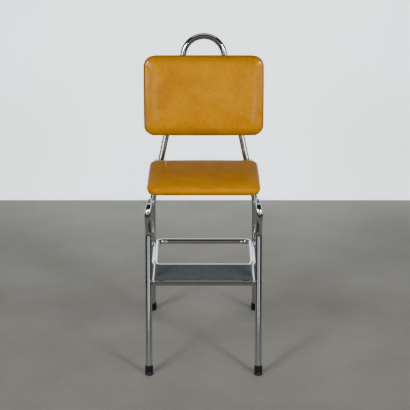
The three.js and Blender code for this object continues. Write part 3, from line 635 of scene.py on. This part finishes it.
fixings = {"rivetDome": 2.6 * mm, "rivetShank": 3 * mm, "smallDome": 2.2 * mm, "boltDome": 3.4 * mm,
           "boltHead": 6 * mm, "boltGrip": 31 * mm, "screwHead": 4 * mm, "screwDome": 1.8 * mm,
           "screwGrip": 2.8 * mm, "screwShank": 2 * mm, "slotWidth": 0.9 * mm, "boltSlot": 1.3,
           "pinShank": 2.5 * mm}
backwards = Vector((0, cos(tilt), -sin(tilt)))
rivetDome, smallDome, rivetShank = fixings["rivetDome"], fixings["smallDome"], fixings["rivetShank"]
for sideName, side in sides:
    boxRivet(f"seat_pivot_rivet_{sideName}", 3, "rear_frame", 0, rivetDome)
    boxRivet(f"bow_pivot_rivet_{sideName}", 3, "rear_frame", 0, rivetDome)
    boxRivet(f"neck_rivet_{sideName}", 2, "front_legs", 0, rivetDome)
    boxRivet(f"crossbar_rivet_{sideName}", 2, "step", 1, smallDome)
    low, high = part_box(f"tread_pin_{sideName}")
    outer = high.x if side > 0 else low.x
    place = Vector((outer - side * rivetDome, (low.y + high.y) / 2, (low.z + high.z) / 2))
    pin = boltMesh(high.x - low.x - rivetDome, (high.z - low.z) / 2, rivetDome, fixings["pinShank"],
                   aim(place, Vector((side, 0, 0))))
    fasten(f"tread_pin_{sideName}", 2, "front_legs", pin)
    for end in ("front", "rear"):
        low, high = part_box(f"bow_rivet_{end}_{sideName}")
        place, matrix = hungFrom(low, high, smallDome)
        rivet = boltMesh(high.z - place.z, (high.x - low.x) / 2, smallDome, rivetShank, matrix)
        fasten(f"bow_rivet_{end}_{sideName}", 2, "step", rivet)
    for order in (1, 2, 3):
        low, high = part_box(f"seat_screw_{sideName}_{order}")
        place, matrix = hungFrom(low, high, fixings["screwDome"])
        screw = boltMesh(fixings["screwGrip"], fixings["screwHead"], fixings["screwDome"],
                         fixings["screwShank"], matrix, fixings["slotWidth"])
        fasten(f"seat_screw_{sideName}_{order}", 2, "seat", screw, 40)
    for end in ("lower", "upper"):
        node = f"backrest_bolt_{end}_{sideName}"
        low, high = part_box(node)
        length = fixings["boltGrip"] + fixings["boltDome"]
        place = (low + high) / 2 + backwards * (length / 2 - fixings["boltDome"])
        bolt = boltMesh(fixings["boltGrip"], fixings["boltHead"], fixings["boltDome"], rivetShank,
                        aim(place, backwards), fixings["slotWidth"] * fixings["boltSlot"])
        fasten(node, 2, "rear_frame", bolt, 40)
print("feet and fixings made")


# Lugs and hinge plates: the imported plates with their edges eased
def easedCopy(node, material, body, width):
    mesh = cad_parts[node].data.copy()
    tool = bmesh.new()
    tool.from_mesh(mesh)
    bmesh.ops.remove_doubles(tool, verts=tool.verts, dist=1e-6)
    bmesh.ops.dissolve_limit(tool, angle_limit=radians(1), verts=tool.verts, edges=tool.edges)
    tool.to_mesh(mesh)
    tool.free()
    bevel = {"width": width, "segments": 2, "limit_method": "ANGLE", "angle_limit": radians(40),
             "use_clamp_overlap": True}
    settle(pieceName(node, 2), withModifiers(mesh, ("BEVEL", bevel)), material, body, [node], 30)


for sideName, side in sides:
    easedCopy(f"seat_lug_{sideName}", chrome, "rear_frame", 0.5 * mm)
    easedCopy(f"step_lug_{sideName}", chrome, "rear_frame", 0.5 * mm)
    easedCopy(f"seat_plate_{sideName}", zinc, "seat", 0.4 * mm)

# Step: a bow of tube that carries a turned-down tray with a ribbed mat
bowSizes = {"tube": 19, "bore": 8.2, "boreDepth": 10, "height": 295.2, "track": 336, "neckIn": 13,
            "front": 92, "jogStart": 212, "jogEnd": 252, "rear": 459.708, "jogRadius": 75, "corner": 30}


def bowMesh(sizes=bowSizes):
    wide, narrow, height = sizes["track"] / 2, sizes["track"] / 2 - sizes["neckIn"], sizes["height"]
    half = [(narrow, sizes["front"]), (narrow, sizes["jogStart"])]
    half += [(wide, sizes["jogEnd"]), (wide, sizes["rear"])]
    corners = [at(-x, y, height) for x, y in half] + [at(x, y, height) for x, y in reversed(half)]
    jog, corner = sizes["jogRadius"] * mm, sizes["corner"] * mm
    route = bentRoute(corners, [jog, jog, corner, corner, jog, jog], radians(3))
    return tubeMesh(route, sizes["tube"] / 2 * mm, tubeSides, sizes["bore"] * mm, sizes["boreDepth"] * mm)


settle("stepBow", bowMesh(), chrome, "step", ["step_bow"])


def roundedOutline(halfX, halfY, corner, inset, swell=0.0, runs=6):
    # counter-clockwise, with the same number of points for any inset
    steps = 8
    hx, hy, r = halfX - inset, halfY - inset, max(corner - inset, corner * 0.25)
    points = []
    for quarter in range(4):
        hn, ha = (hx, hy) if quarter % 2 == 0 else (hy, hx)
        places = [(hn, (ha - r) * (2 * k / runs - 1)) for k in range(runs)]
        places += [(hn - r + r * cos(a), ha - r + r * sin(a))
                   for a in (pi / 2 * k / steps for k in range(steps + 1))]
        c, s = cos(quarter * pi / 2), sin(quarter * pi / 2)
        for n, a in places:
            x, y = n * c - a * s, n * s + a * c
            wide = 1 + swell / halfX / 2 * (1 - (y / halfY) ** 2)
            long = 1 + swell / halfY / 2 * (1 - (x / halfX) ** 2)
            points.append((x * wide, y * long))
    return points


def stackMesh(rings):
    # rings of equal length from the lowest to the top, capped at both ends
    return cappedMesh([Vector(point) for ring in rings for point in ring], len(rings[0]))


def planRing(half, middle, corner, inset, height):
    # one ring of a rounded box, in metres from half sizes, inset and height in millimetres
    outline = roundedOutline(half.x, half.y, corner, inset)
    return [(x * mm, y * mm + middle.y, height * mm) for x, y in outline]


# The tray's skirt is notched for the bow's sides and has wide holes for the tread pins
traySizes = {"corner": 7, "sheet": 1.5, "roll": 3.2, "top": 30, "hemIn": 0.35, "hemUp": 0.6,
             "notch": 11.2, "notchX": 157.3, "notchY": 218, "notchLow": 8, "notchLong": 16,
             "holeRadius": 5.7, "holeAhead": 2.1, "holeDrop": 1.8, "holeReach": 10}
treadPivot = (-0.193175, 0.300)  # y and z of the tread pins, in metres


def trayMesh(sizes=traySizes):
    low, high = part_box("step_tray")
    half, middle = (high - low) / 2 / mm, (low + high) / 2
    top, bottom, roll, sheet = high.z / mm, low.z / mm, sizes["roll"], sizes["sheet"]
    hemIn, hemUp = sizes["hemIn"], sizes["hemUp"]

    def ring(inset, height):
        return planRing(half, middle, sizes["corner"], inset, height)

    arc = [pi / 2 * k / 6 for k in range(7)]
    inner = roll - sheet
    rings = [ring(roll + sizes["top"], top - sheet)]
    rings += [ring(roll - inner * sin(a), top - roll + inner * cos(a)) for a in arc]
    rings += [ring(sheet, bottom + hemUp), ring(sheet - hemIn, bottom)]
    rings += [ring(hemIn, bottom), ring(0, bottom + hemUp)]
    rings += [ring(roll * (1 - cos(a)), top - roll + roll * sin(a)) for a in arc]
    notches, holes = [], []
    notchSize = Matrix.Diagonal((2 * sizes["notch"] * mm, sizes["notchLong"] * mm,
                                 (2 * sizes["notch"] + sizes["notchLow"]) * mm, 1))
    radius, reach = sizes["holeRadius"] * mm, sizes["holeReach"] * mm
    for _, side in sides:
        place = at(side * sizes["notchX"], sizes["notchY"], bowSizes["height"] - sizes["notchLow"])
        notches.append(Matrix.Translation(place) @ notchSize)
        centre = Vector((side * half.x * mm, treadPivot[0] - sizes["holeAhead"] * mm,
                         treadPivot[1] - sizes["holeDrop"] * mm))
        profile = [(0, -reach), (radius, -reach), (radius, reach), (0, reach)]
        holes.append(latheMesh(profile, aim(centre, Vector((1, 0, 0)))))
    return cutBy(stackMesh(rings), cubesMesh(*notches), *holes)


settle("stepTray", trayMesh(), chrome, "step", ["step_tray"], 28)

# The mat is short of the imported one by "short" at its front and its rear
matSizes = {"corner": 4, "ribPitch": 4.2, "ribWidth": 2.5, "ribHeight": 0.95, "ribGap": 1.5, "ribSunk": 0.05,
            "border": 5.5, "edge": 0.5, "short": 5.5}
ribEnds = ((0, 0.05), (0.7, 0.8), (1.8, 1))  # distance from a rib's end, share of its height there


def ribMesh(middleY, row, reach, base, sizes=matSizes):
    # a half round across the tray that falls off at both ends
    stations = [(-reach + along, share) for along, share in ribEnds]
    stations += [(reach - along, share) for along, share in reversed(ribEnds)]
    arc = [pi * k / 6 for k in range(7)]
    spots, sunk = len(arc), sizes["ribSunk"]
    verts, faces = [], []
    for x, share in stations:
        for a in arc:
            y = row + sizes["ribWidth"] / 2 * cos(a)
            z = base - sunk + (sizes["ribHeight"] * share + sunk) * sin(a)
            verts.append((x * mm, middleY + y * mm, z * mm))
    for station in range(len(stations) - 1):
        for k in range(spots - 1):
            a = station * spots + k
            faces.append((a, a + 1, a + spots + 1, a + spots))
    faces += [tuple(range(spots)), tuple(reversed(range(len(verts) - spots, len(verts))))]
    return meshOf(verts, faces)


def matMesh(sizes=matSizes):
    low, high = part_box("step_mat")
    half, middle = (high - low) / 2 / mm - Vector((0, sizes["short"], 0)), (low + high) / 2
    base, top, edge, border = low.z / mm, high.z / mm, sizes["edge"], sizes["border"]
    hollow = top - sizes["ribHeight"]

    def ring(inset, height):
        return planRing(half, middle, sizes["corner"], inset, height)

    rings = [ring(0, base), ring(0, top - edge), ring(edge * 0.3, top - edge * 0.3), ring(edge, top),
             ring(border - edge, top), ring(border, hollow)]
    parts = [stackMesh(rings)]
    inside = half.y - border - sizes["ribPitch"] / 2
    count = int(2 * inside / sizes["ribPitch"]) + 1
    reach = half.x - border - sizes["ribGap"]
    for row in range(count):
        y = (row - (count - 1) / 2) * sizes["ribPitch"]
        parts.append(ribMesh(middle.y, y, reach, hollow))
    return joinMeshes(*parts)


settle("stepMat", matMesh(), matRubber, "step", ["step_mat"], 45)
print("step made")

# Upholstery: one vinyl skin over the pad, round the board and stapled behind it, in millimetres
seatPad = {"width": 374, "length": 306, "corner": 34, "pad": 12.5, "crown": 5.5, "swell": 2.5, "board": 12,
           "rise": 8.0, "sag": 0.0, "peak": 0.35, "fill": 0.85, "voxel": 4.2, "pressure": 4.0, "cap": 1.8,
           "evening": 24, "pleat": 0.9, "skin": 0.26, "turnIn": 11}
backPad = {"width": 416, "length": 276, "corner": 36, "pad": 17, "crown": 11, "swell": 3, "board": 9,
           "rise": 0.0, "sag": 4.6, "peak": 0.0, "fill": 0.85, "voxel": 4.4, "pressure": 4.0, "cap": 2.2,
           "evening": 24, "pleat": 1.0, "skin": 0.26, "turnIn": 14}
padShape = {"boardInset": 7, "belly": 0.45, "roll": 13, "sideGap": 1.4, "backGap": 0.6, "edge": 2.2,
            "start": 0.86, "middle": 4, "pleatTurns": 9, "pleatRight": 1, "pleatLeft": 2.2, "pleatBias": 0.55,
            "pleatRise": 0.55, "pleatReach": 0.6}
clothFrames = 20


def padForm(pad, shape=padShape):
    belly, back = pad["pad"] * shape["belly"], -pad["board"] - shape["backGap"]
    inset = shape["boardInset"] - shape["sideGap"]
    rings = []

    def ring(inward, height, drift=0.0):
        outline = roundedOutline(pad["width"] / 2, pad["length"] / 2, pad["corner"], inward, pad["swell"], 16)
        above = max(0, height - belly) / (pad["pad"] - belly)
        sag = pad["sag"] * min(1, max(0, height / belly))
        spots = []
        for x, y in outline:
            lift = pad["rise"] * min(1, above) * (y / pad["length"] + 0.5)
            spots.append((x * mm, (y + drift * pad["length"] * pad["peak"] - sag) * mm, (height + lift) * mm))
        rings.append(spots)

    deepest = pad["length"] / 2 - shape["roll"] - shape["middle"]
    for share in (1, 0.75, 0.5, 0.3, 0.12):
        ring(inset + shape["edge"] + deepest * share, back)
    for k in range(4):
        a = pi / 2 * k / 3
        ring(inset + shape["edge"] * (1 - sin(a)), back + shape["edge"] * (1 - cos(a)))
    for share in (0.25, 0.5, 0.75):
        height = back + shape["edge"] + (belly - back - shape["edge"]) * share
        ring(inset * (1 - share) ** 1.5, height)
    for k in range(7):
        a = pi / 2 * k / 6
        ring(shape["roll"] * (1 - cos(a)), belly + (pad["pad"] - belly) * sin(a))
    for share in (0.04, 0.1, 0.2, 0.35, 0.5, 0.7, 0.9):
        ring(shape["roll"] + deepest * share,
             pad["pad"] + pad["crown"] * shape["start"] * (1 - (1 - share) ** 2), share * 0.8)
    return stackMesh(rings)


def inflate(mesh, pad):
    # a short cloth run with the wrapped part held still; no point may move further than the cap
    before = np.array([tuple(vertex.co) for vertex in mesh.vertices])
    cloth = bpy.data.objects.new("clothForm", mesh)
    scene.collection.objects.link(cloth)
    held = cloth.vertex_groups.new(name="held")
    for vertex in mesh.vertices:
        weight = 1 - min(1, max(0, (vertex.co.z / mm - 1) / (pad["pad"] * 0.6)))
        if weight > 0:
            held.add([vertex.index], weight, "REPLACE")
    modifier = cloth.modifiers.new("pressure", "CLOTH")
    settings = modifier.settings
    settings.quality, settings.mass, settings.air_damping = 6, 0.35, 4
    settings.tension_stiffness = settings.compression_stiffness = 18
    settings.shear_stiffness, settings.bending_stiffness = 8, 0.8
    settings.vertex_group_mass = "held"
    settings.use_pressure, settings.uniform_pressure_force = True, pad["pressure"]
    settings.effector_weights.gravity = 0
    modifier.collision_settings.use_collision = False
    modifier.point_cache.frame_start, modifier.point_cache.frame_end = 1, clothFrames
    for number in range(1, clothFrames + 1):
        scene.frame_set(number)
    result = bpy.data.meshes.new_from_object(cloth.evaluated_get(bpy.context.evaluated_depsgraph_get()))
    bpy.data.objects.remove(cloth)
    scene.frame_set(1)
    # the moves are capped, then evened out between neighbours so that no sharp buckle stays
    moves = np.array([tuple(vertex.co) for vertex in result.vertices]) - before
    lengths = np.linalg.norm(moves, axis=1, keepdims=True)
    moves *= np.minimum(1, pad["cap"] * mm / np.maximum(lengths, 1e-9))
    edges = np.array([tuple(edge.vertices) for edge in result.edges])
    degree = np.bincount(edges.ravel(), minlength=len(before))[:, None]
    for _ in range(pad["evening"]):
        total = np.zeros_like(moves)
        np.add.at(total, edges[:, 0], moves[edges[:, 1]])
        np.add.at(total, edges[:, 1], moves[edges[:, 0]])
        moves = (moves + total / degree) / 2
    result.vertices.foreach_set("co", (before + moves).ravel())
    return result


def pleatAndOpen(mesh, pad, shape=padShape):
    # small pleats round the corners, then the back is opened to show the board
    back = (-pad["board"] - shape["backGap"]) * mm
    centreX, centreY = (pad["width"] / 2 - pad["corner"]) * mm, (pad["length"] / 2 - pad["corner"]) * mm
    pleatHeight = (pad["board"] + pad["pad"]) * shape["pleatRise"] * mm
    tool = bmesh.new()
    tool.from_mesh(mesh)
    for vertex in tool.verts:
        outX, outY = abs(vertex.co.x) - centreX, abs(vertex.co.y) - centreY
        if outX > 0 and outY > 0:
            angle = atan2(outY, outX)
            fade = sin(2 * angle) ** 2
            height = min(1, max(0, 1 - (vertex.co.z - back) / pleatHeight))
            away = min(1, hypot(outX, outY) / (pad["corner"] * shape["pleatReach"] * mm))
            phase = shape["pleatRight"] if vertex.co.x > 0 else shape["pleatLeft"]
            fold = abs(sin(angle * shape["pleatTurns"] + phase)) - shape["pleatBias"]
            push = pad["pleat"] * mm * fold * fade * height * away
            direction = Vector((copysign(cos(angle), vertex.co.x), copysign(sin(angle), vertex.co.y), 0))
            vertex.co += direction * push
        if vertex.co.z < back + 0.5 * mm:
            vertex.co.z = back
    openX = pad["width"] / 2 - shape["boardInset"] - pad["turnIn"]
    openY = pad["length"] / 2 - shape["boardInset"] - pad["turnIn"]
    for axis, reach in ((0, openX), (0, -openX), (1, openY), (1, -openY)):
        flat = [f for f in tool.faces if all(v.co.z < back + 0.01 * mm for v in f.verts)]
        geometry = flat + list({e for f in flat for e in f.edges}) + list({v for f in flat for v in f.verts})
        normal = Vector((1, 0, 0) if axis == 0 else (0, 1, 0))
        bmesh.ops.bisect_plane(tool, geom=geometry, plane_co=normal * reach * mm, plane_no=normal)
    inside = []
    for face in tool.faces:
        centre = face.calc_center_median()
        if centre.z < back + 0.01 * mm and abs(centre.x) < openX * mm and abs(centre.y) < openY * mm:
            inside.append(face)
    bmesh.ops.delete(tool, geom=inside, context="FACES")
    tool.to_mesh(mesh)
    tool.free()
    return mesh


# Staples: the share of their row that they fill, how they stray, half their width and their wire
stapleSizes = {"row": 0.86, "stray": 4, "turn": 0.22, "half": 5.2, "wire": 0.32, "bend": 0.45, "deep": 1.2,
               "proud": 0.35, "rowIn": 0.5}


def stapleMesh(pad, counts, sizes=stapleSizes):
    edge = padShape["boardInset"] + pad["turnIn"] * sizes["rowIn"]
    halfX, halfY = pad["width"] / 2 - edge, pad["length"] / 2 - edge
    height = -pad["board"] - padShape["backGap"] - sizes["proud"]
    dive = Vector((0, 0, sizes["deep"] * mm))
    wires = []
    for count, fixed, runs, alongX in ((counts[0], halfY, halfX, True), (counts[1], halfX, halfY, False)):
        for end in (-1, 1):
            for k in range(count):
                along = runs * sizes["row"] * (2 * (k + 0.5) / count - 1)
                along += dice.uniform(-sizes["stray"], sizes["stray"])
                turn = dice.uniform(-sizes["turn"], sizes["turn"]) + (0 if alongX else pi / 2)
                spot = (along, end * fixed) if alongX else (end * fixed, along)
                reach = Vector((cos(turn), sin(turn), 0)) * sizes["half"] * mm
                centre = Vector((spot[0] * mm, spot[1] * mm, height * mm))
                corners = [centre - reach + dive, centre - reach, centre + reach, centre + reach + dive]
                route = bentRoute(corners, [sizes["bend"] * mm, sizes["bend"] * mm], radians(22))
                wires.append(tubeMesh(route, sizes["wire"] * mm, 6))
    return joinMeshes(*wires)


def upholster(name, node, body, pad, matrix, vinyl, stapleCounts):
    mesh = withModifiers(padForm(pad), ("REMESH", {"mode": "VOXEL", "voxel_size": pad["voxel"] * mm}),
                         ("SMOOTH", {"factor": 0.5, "iterations": 2}))
    mesh = inflate(mesh, pad)
    mesh = pleatAndOpen(mesh, pad)
    steps = [("SOLIDIFY", {"thickness": pad["skin"] * mm, "offset": -1})]
    steps.insert(0, ("SUBSURF", {"levels": 1, "render_levels": 1}))
    mesh = withModifiers(mesh, *steps)
    mesh.transform(matrix)
    skin = settle(name, mesh, vinyl, body, [node], 60)
    staples = stapleMesh(pad, stapleCounts)
    staples.transform(matrix)
    settle(f"{name}Staples", staples, zinc, body)


seatPlace = Matrix.Translation(((seatLow.x + seatHigh.x) / 2, (seatLow.y + seatHigh.y) / 2, seatLow.z))
upholster("seatCushion", "seat_cushion", "seat", seatPad, seatPlace, seatVinyl, (7, 6))

# The backrest's middle is on the uprights' line, and the front of its board is "ahead" of that line
backrestSizes = {"height": 822, "ahead": 20.6}
backRise = (backrestSizes["height"] - rearSizes["kneeHeight"]) * tan(tilt)
backMiddle = at(0, kneeY + backRise, backrestSizes["height"])
backTurn = Matrix(((1, 0, 0, 0), (0, sin(tilt), -cos(tilt), 0), (0, cos(tilt), sin(tilt), 0), (0, 0, 0, 1)))
backFace = backMiddle + Vector((0, -cos(tilt), sin(tilt))) * backrestSizes["ahead"] * mm
backPlace = Matrix.Translation(backFace) @ backTurn
upholster("backrestCushion", "backrest_cushion", "rear_frame", backPad, backPlace, backVinyl, (8, 5))
for node, material in (("seat_board", seatPly), ("backrest_board", backPly)):
    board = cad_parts[node]
    board.data.materials.clear()
    board.data.materials.append(material)
print("upholstery made")

# Plain floor and wall. The painted shades are edges that darken both away from the middle.
stageLook = {"floor": (0.17, 0.16, 0.138), "floorPale": (0.20, 0.19, 0.168), "floorClouds": 3.0,
             "floorGrain": 120.0, "floorRough": (0.9, 0.8), "wall": (0.82, 0.92, 0.97),
             "wallPale": (0.89, 0.94, 0.96), "wallClouds": 1.5, "wallRough": 0.85, "wallGlow": 1.5,
             "wallUpper": 0.16, "fadeFrom": 0.94, "fadeTo": 1.04, "floorReach": 7, "wallReach": 5,
             "wallTop": 4, "wallY": 1.495, "sides": (("X", -2.4, -1.1, 0.25), ("X", 2.4, 1.1, 0.25)),
             "ahead": (("Y", -1.7, -0.75, 0.2),)}


def floorMaterial(look=stageLook):
    material, tree, shader = startMaterial("floorPaint")
    place = placeOn(tree)
    cloud = noise(tree, place, look["floorClouds"], 6.0, 0.6)
    tones = ramp(tree, cloud, [(0.35, look["floor"]), (0.65, look["floorPale"])])
    # painted shade towards the sides and the front
    feed(tree, shader, Base_Color=times(tree, tones, edgeShade(tree, place, look["sides"] + look["ahead"])),
         Roughness=spread(tree, cloud, 0.3, 0.7, *look["floorRough"]),
         Normal=dented(tree, place, look["floorGrain"], 4.0, 0.1, 0.0005))
    return material


def wallMaterial(look=stageLook):
    # glows evenly low down, with painted shade above and to the sides, and open from behind so that it hides
    # nothing from the back
    material, tree, shader = startMaterial("wallPaint", Roughness=look["wallRough"],
                                           Emission_Strength=look["wallGlow"])
    place = placeOn(tree)
    height = addNode(tree, "SeparateXYZ", Vector=place).outputs["Z"]
    # painted shade above fadeFrom, down to the upper tone at fadeTo
    fade = spread(tree, height, look["fadeFrom"], look["fadeTo"], 1.0, look["wallUpper"])
    cloud = noise(tree, place, look["wallClouds"], 6.0, 0.6)
    tones = ramp(tree, cloud, [(0.35, look["wall"]), (0.65, look["wallPale"])])
    color = times(tree, tones, times(tree, fade, edgeShade(tree, place, look["sides"])))
    # the wall's glow: it gives light in its own colour though it is no lamp
    feed(tree, shader, Base_Color=color, Emission_Color=color)
    behind = addNode(tree, "NewGeometry").outputs["Backfacing"]
    mix = addNode(tree, "MixShader", Fac=behind)
    tree.links.new(shader.outputs["BSDF"], mix.inputs[1])
    tree.links.new(addNode(tree, "BsdfTransparent").outputs["BSDF"], mix.inputs[2])
    tree.links.new(mix.outputs["Shader"], tree.nodes["Material Output"].inputs["Surface"])
    return material


def stagePiece(name, corners, material):
    mesh = meshOf(corners, [(0, 1, 2, 3)])
    piece = bpy.data.objects.new(name, mesh)
    mesh.materials.append(material)
    scene.collection.objects.link(piece)


reach, wide = stageLook["floorReach"], stageLook["wallReach"]
wallY, wallTop = stageLook["wallY"], stageLook["wallTop"]
stagePiece("floor", [(-reach, -reach, 0), (reach, -reach, 0), (reach, reach, 0), (-reach, reach, 0)],
           floorMaterial())
stagePiece("wall", [(-wide, wallY, 0), (wide, wallY, 0), (wide, wallY, wallTop), (-wide, wallY, wallTop)],
           wallMaterial())

# Camera at the photo's angle, soft lights and a plain graded surround
cameraLook = {"place": (0.0044, -4.143, 1.949), "pitch": 70.71, "lens": 114.15, "sensor": 36}
# name, place, aim, width and height, watts, spread in degrees, colour
lightTable = (("left", (-2.0, -1.75, 1.33), (0, 0, 0.8), (0.4, 1.2), 21, 180, (1.0, 0.99, 0.97)),
              ("right", (2.3, -1.6, 1.33), (0, 0, 0.8), (0.9, 1.2), 24, 180, (1.0, 0.97, 0.93)),
              ("leftKey", (-2.0, -2.7, 2.1), (0, 0.1, 0.75), (0.7, 0.7), 18, 80, (1.0, 1.0, 1.0)),
              ("rightKey", (2.1, -2.6, 2.1), (0, 0.1, 0.75), (0.7, 0.7), 17, 80, (1.0, 0.99, 0.97)),
              ("leftStrip", (-1.9, -5.0, 0.85), (0, 0, 0.6), (0.5, 1.0), 4.5, 180, (0.97, 0.98, 1.0)),
              ("rightStrip", (2.2, -4.8, 0.85), (0, 0, 0.6), (0.5, 1.0), 4.5, 180, (0.97, 0.98, 1.0)),
              ("top", (0.0, 0.1, 2.9), (0, 0.3, 0), (2.6, 0.6), 8, 180, (1.0, 1.0, 1.0)))
surround = {"below": (0.05, 0.047, 0.043), "level": (0.36, 0.36, 0.36), "above": (0.07, 0.072, 0.078),
            "heights": (0.42, 0.5, 0.57, 0.7), "sideShade": 0.4, "sideFrom": 0.06, "sideTo": 0.22}

camera = bpy.data.objects.new("camera", bpy.data.cameras.new("camera"))
scene.collection.objects.link(camera)
scene.camera = camera
camera.location = cameraLook["place"]
camera.rotation_euler = (radians(cameraLook["pitch"]), 0, 0)
camera.data.lens, camera.data.sensor_width = cameraLook["lens"], cameraLook["sensor"]

for name, place, target, size, power, beam, color in lightTable:
    light = bpy.data.lights.new(f"{name}Light", "AREA")
    light.shape = "RECTANGLE"
    light.size, light.size_y = size
    light.energy, light.color, light.spread = power, color, radians(beam)
    lamp = bpy.data.objects.new(f"{name}Light", light)
    lamp.location = place
    lamp.rotation_euler = (Vector(target) - Vector(place)).to_track_quat("-Z", "Y").to_euler()
    scene.collection.objects.link(lamp)

world = bpy.data.worlds.new("surround")
scene.world = world
world.use_nodes = True
tree = world.node_tree
direction = addNode(tree, "SeparateXYZ", Vector=addNode(tree, "TexCoord").outputs["Generated"])
tones = [surround[key] for key in ("below", "level", "level", "above")]
band = ramp(tree, spread(tree, direction.outputs["Z"], -1, 1, 0, 1), list(zip(surround["heights"], tones)))
ahead = ramp(tree, spread(tree, direction.outputs["Y"], -1, 1, 0, 1),
             [(surround["sideFrom"], grey(1)), (surround["sideTo"], grey(surround["sideShade"]))])
sky = times(tree, band, ahead)
tree.links.new(sky, tree.nodes["Background"].inputs["Color"])
print("stage, camera and lights made")
